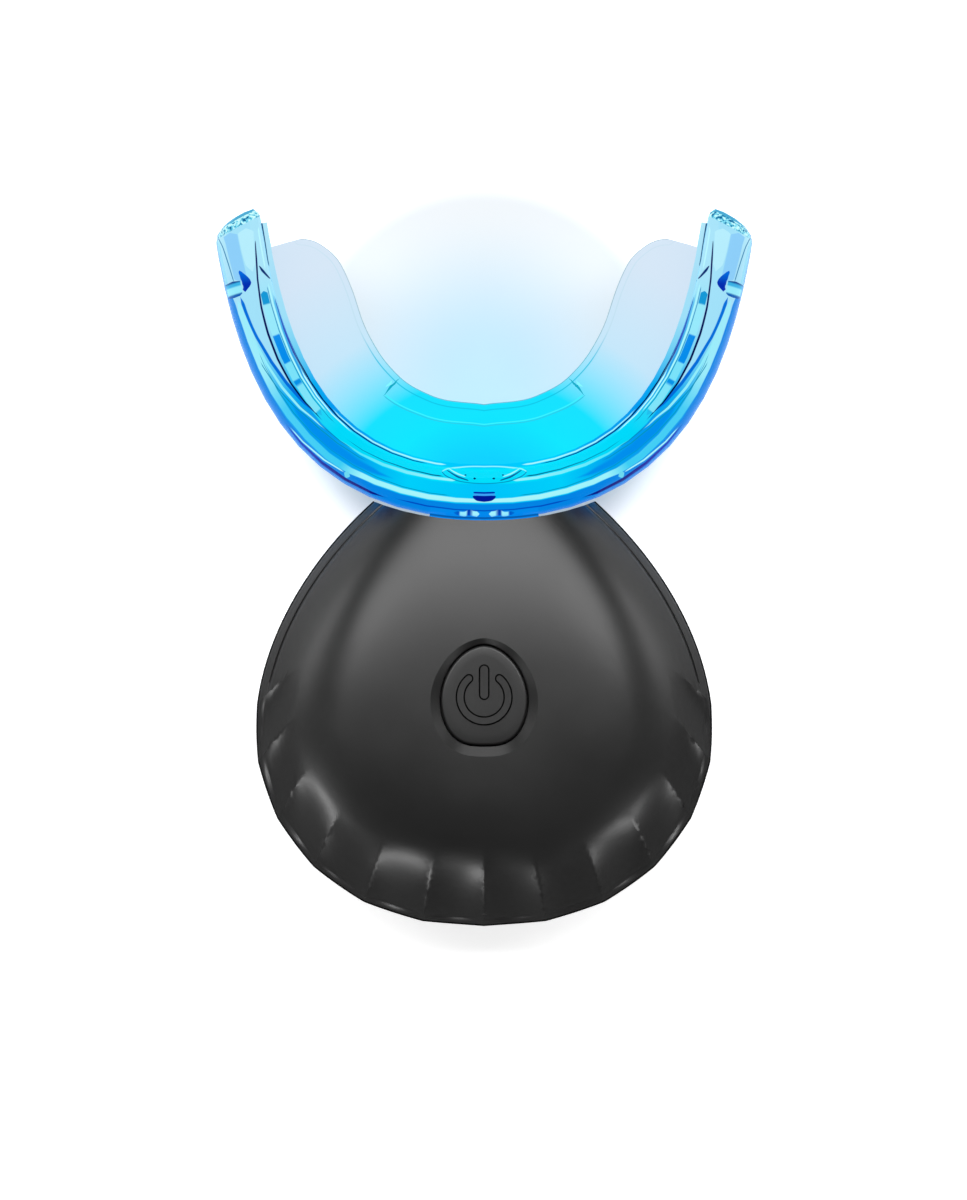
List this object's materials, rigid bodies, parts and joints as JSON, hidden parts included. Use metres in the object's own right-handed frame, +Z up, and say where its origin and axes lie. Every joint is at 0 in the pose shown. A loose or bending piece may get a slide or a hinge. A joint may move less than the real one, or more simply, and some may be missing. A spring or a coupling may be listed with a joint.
{
  "type": "led teeth whitening device",
  "caption": "Hand-free teeth whitening light: a U-shaped clear light arch with a soft bite plate, on a scallop-shaped handset with a power button.",
  "frame": {"origin": "under the middle of the device, on the plane that its back rests on", "axes": "+Z up to the power button, +Y from the handset to the open ends of the light arch, +X across the device"},
  "size_m": [0.0636, 0.0849, 0.0248],
  "materials": {
    "shell_plastic": "satin black moulded plastic",
    "button_plastic": "satin black moulded plastic",
    "clear_plastic": "clear plastic lit blue from inside",
    "milky_silicone": "milky translucent silicone",
    "black_silicone": "soft black silicone",
    "flex_circuit": "white coated flexible circuit",
    "led_chip": "lit blue light chip",
    "circuit_board": "green solder mask",
    "chip_resin": "black moulded resin",
    "switch_plastic": "plain grey plastic",
    "socket_nylon": "cream nylon",
    "steel": "bright plated steel",
    "gold_contact": "gold plated",
    "pouch_foil": "laminated foil",
    "foam": "black closed cell foam",
    "lead_red": "red wire insulation",
    "lead_black": "black wire insulation"
  },
  "bodies": {
    "handset": {"upper_shell": "shell_plastic", "lower_shell": "shell_plastic", "arch_cover": "clear_plastic", "arch_inner_wall": "clear_plastic", "bite_plate": "milky_silicone", "shell_seal": "black_silicone", "neck_seal": "black_silicone", "button_gasket": "black_silicone", "led_flex_strip": "flex_circuit", "led_ribbon": "flex_circuit", "led_upper_01": "led_chip", "led_upper_02": "led_chip", "led_upper_03": "led_chip", "led_upper_04": "led_chip", "led_upper_05": "led_chip", "led_upper_06": "led_chip", "led_upper_07": "led_chip", "led_upper_08": "led_chip", "led_upper_09": "led_chip", "led_upper_10": "led_chip", "led_upper_11": "led_chip", "led_upper_12": "led_chip", "led_upper_13": "led_chip", "led_upper_14": "led_chip", "led_lower_01": "led_chip", "led_lower_02": "led_chip", "led_lower_03": "led_chip", "led_lower_04": "led_chip", "led_lower_05": "led_chip", "led_lower_06": "led_chip", "led_lower_07": "led_chip", "led_lower_08": "led_chip", "led_lower_09": "led_chip", "led_lower_10": "led_chip", "led_lower_11": "led_chip", "led_lower_12": "led_chip", "led_lower_13": "led_chip", "led_lower_14": "led_chip", "main_board": "circuit_board", "charge_board": "circuit_board", "control_chip": "chip_resin", "charger_chip": "chip_resin", "buzzer": "chip_resin", "tact_switch": "chip_resin", "ribbon_socket": "socket_nylon", "battery_plug": "socket_nylon", "board_screw_left": "steel", "board_screw_right": "steel", "charge_magnet_left": "steel", "charge_magnet_right": "steel", "charge_pin_left": "gold_contact", "charge_pin_right": "gold_contact", "battery_cell": "pouch_foil", "battery_pad": "foam", "battery_lead_red": "lead_red", "battery_lead_black": "lead_black"},
    "power_button": {"button_cap": "button_plastic", "switch_plunger": "switch_plastic"}
  },
  "joints": [
    {"name": "button_press", "type": "slide", "parent": "handset", "child": "power_button", "axis": [0, 0, -1], "range_m": [0, 0.0004], "stiffness_N_per_m": 4000, "springref_m": -0.0001}
  ]
}
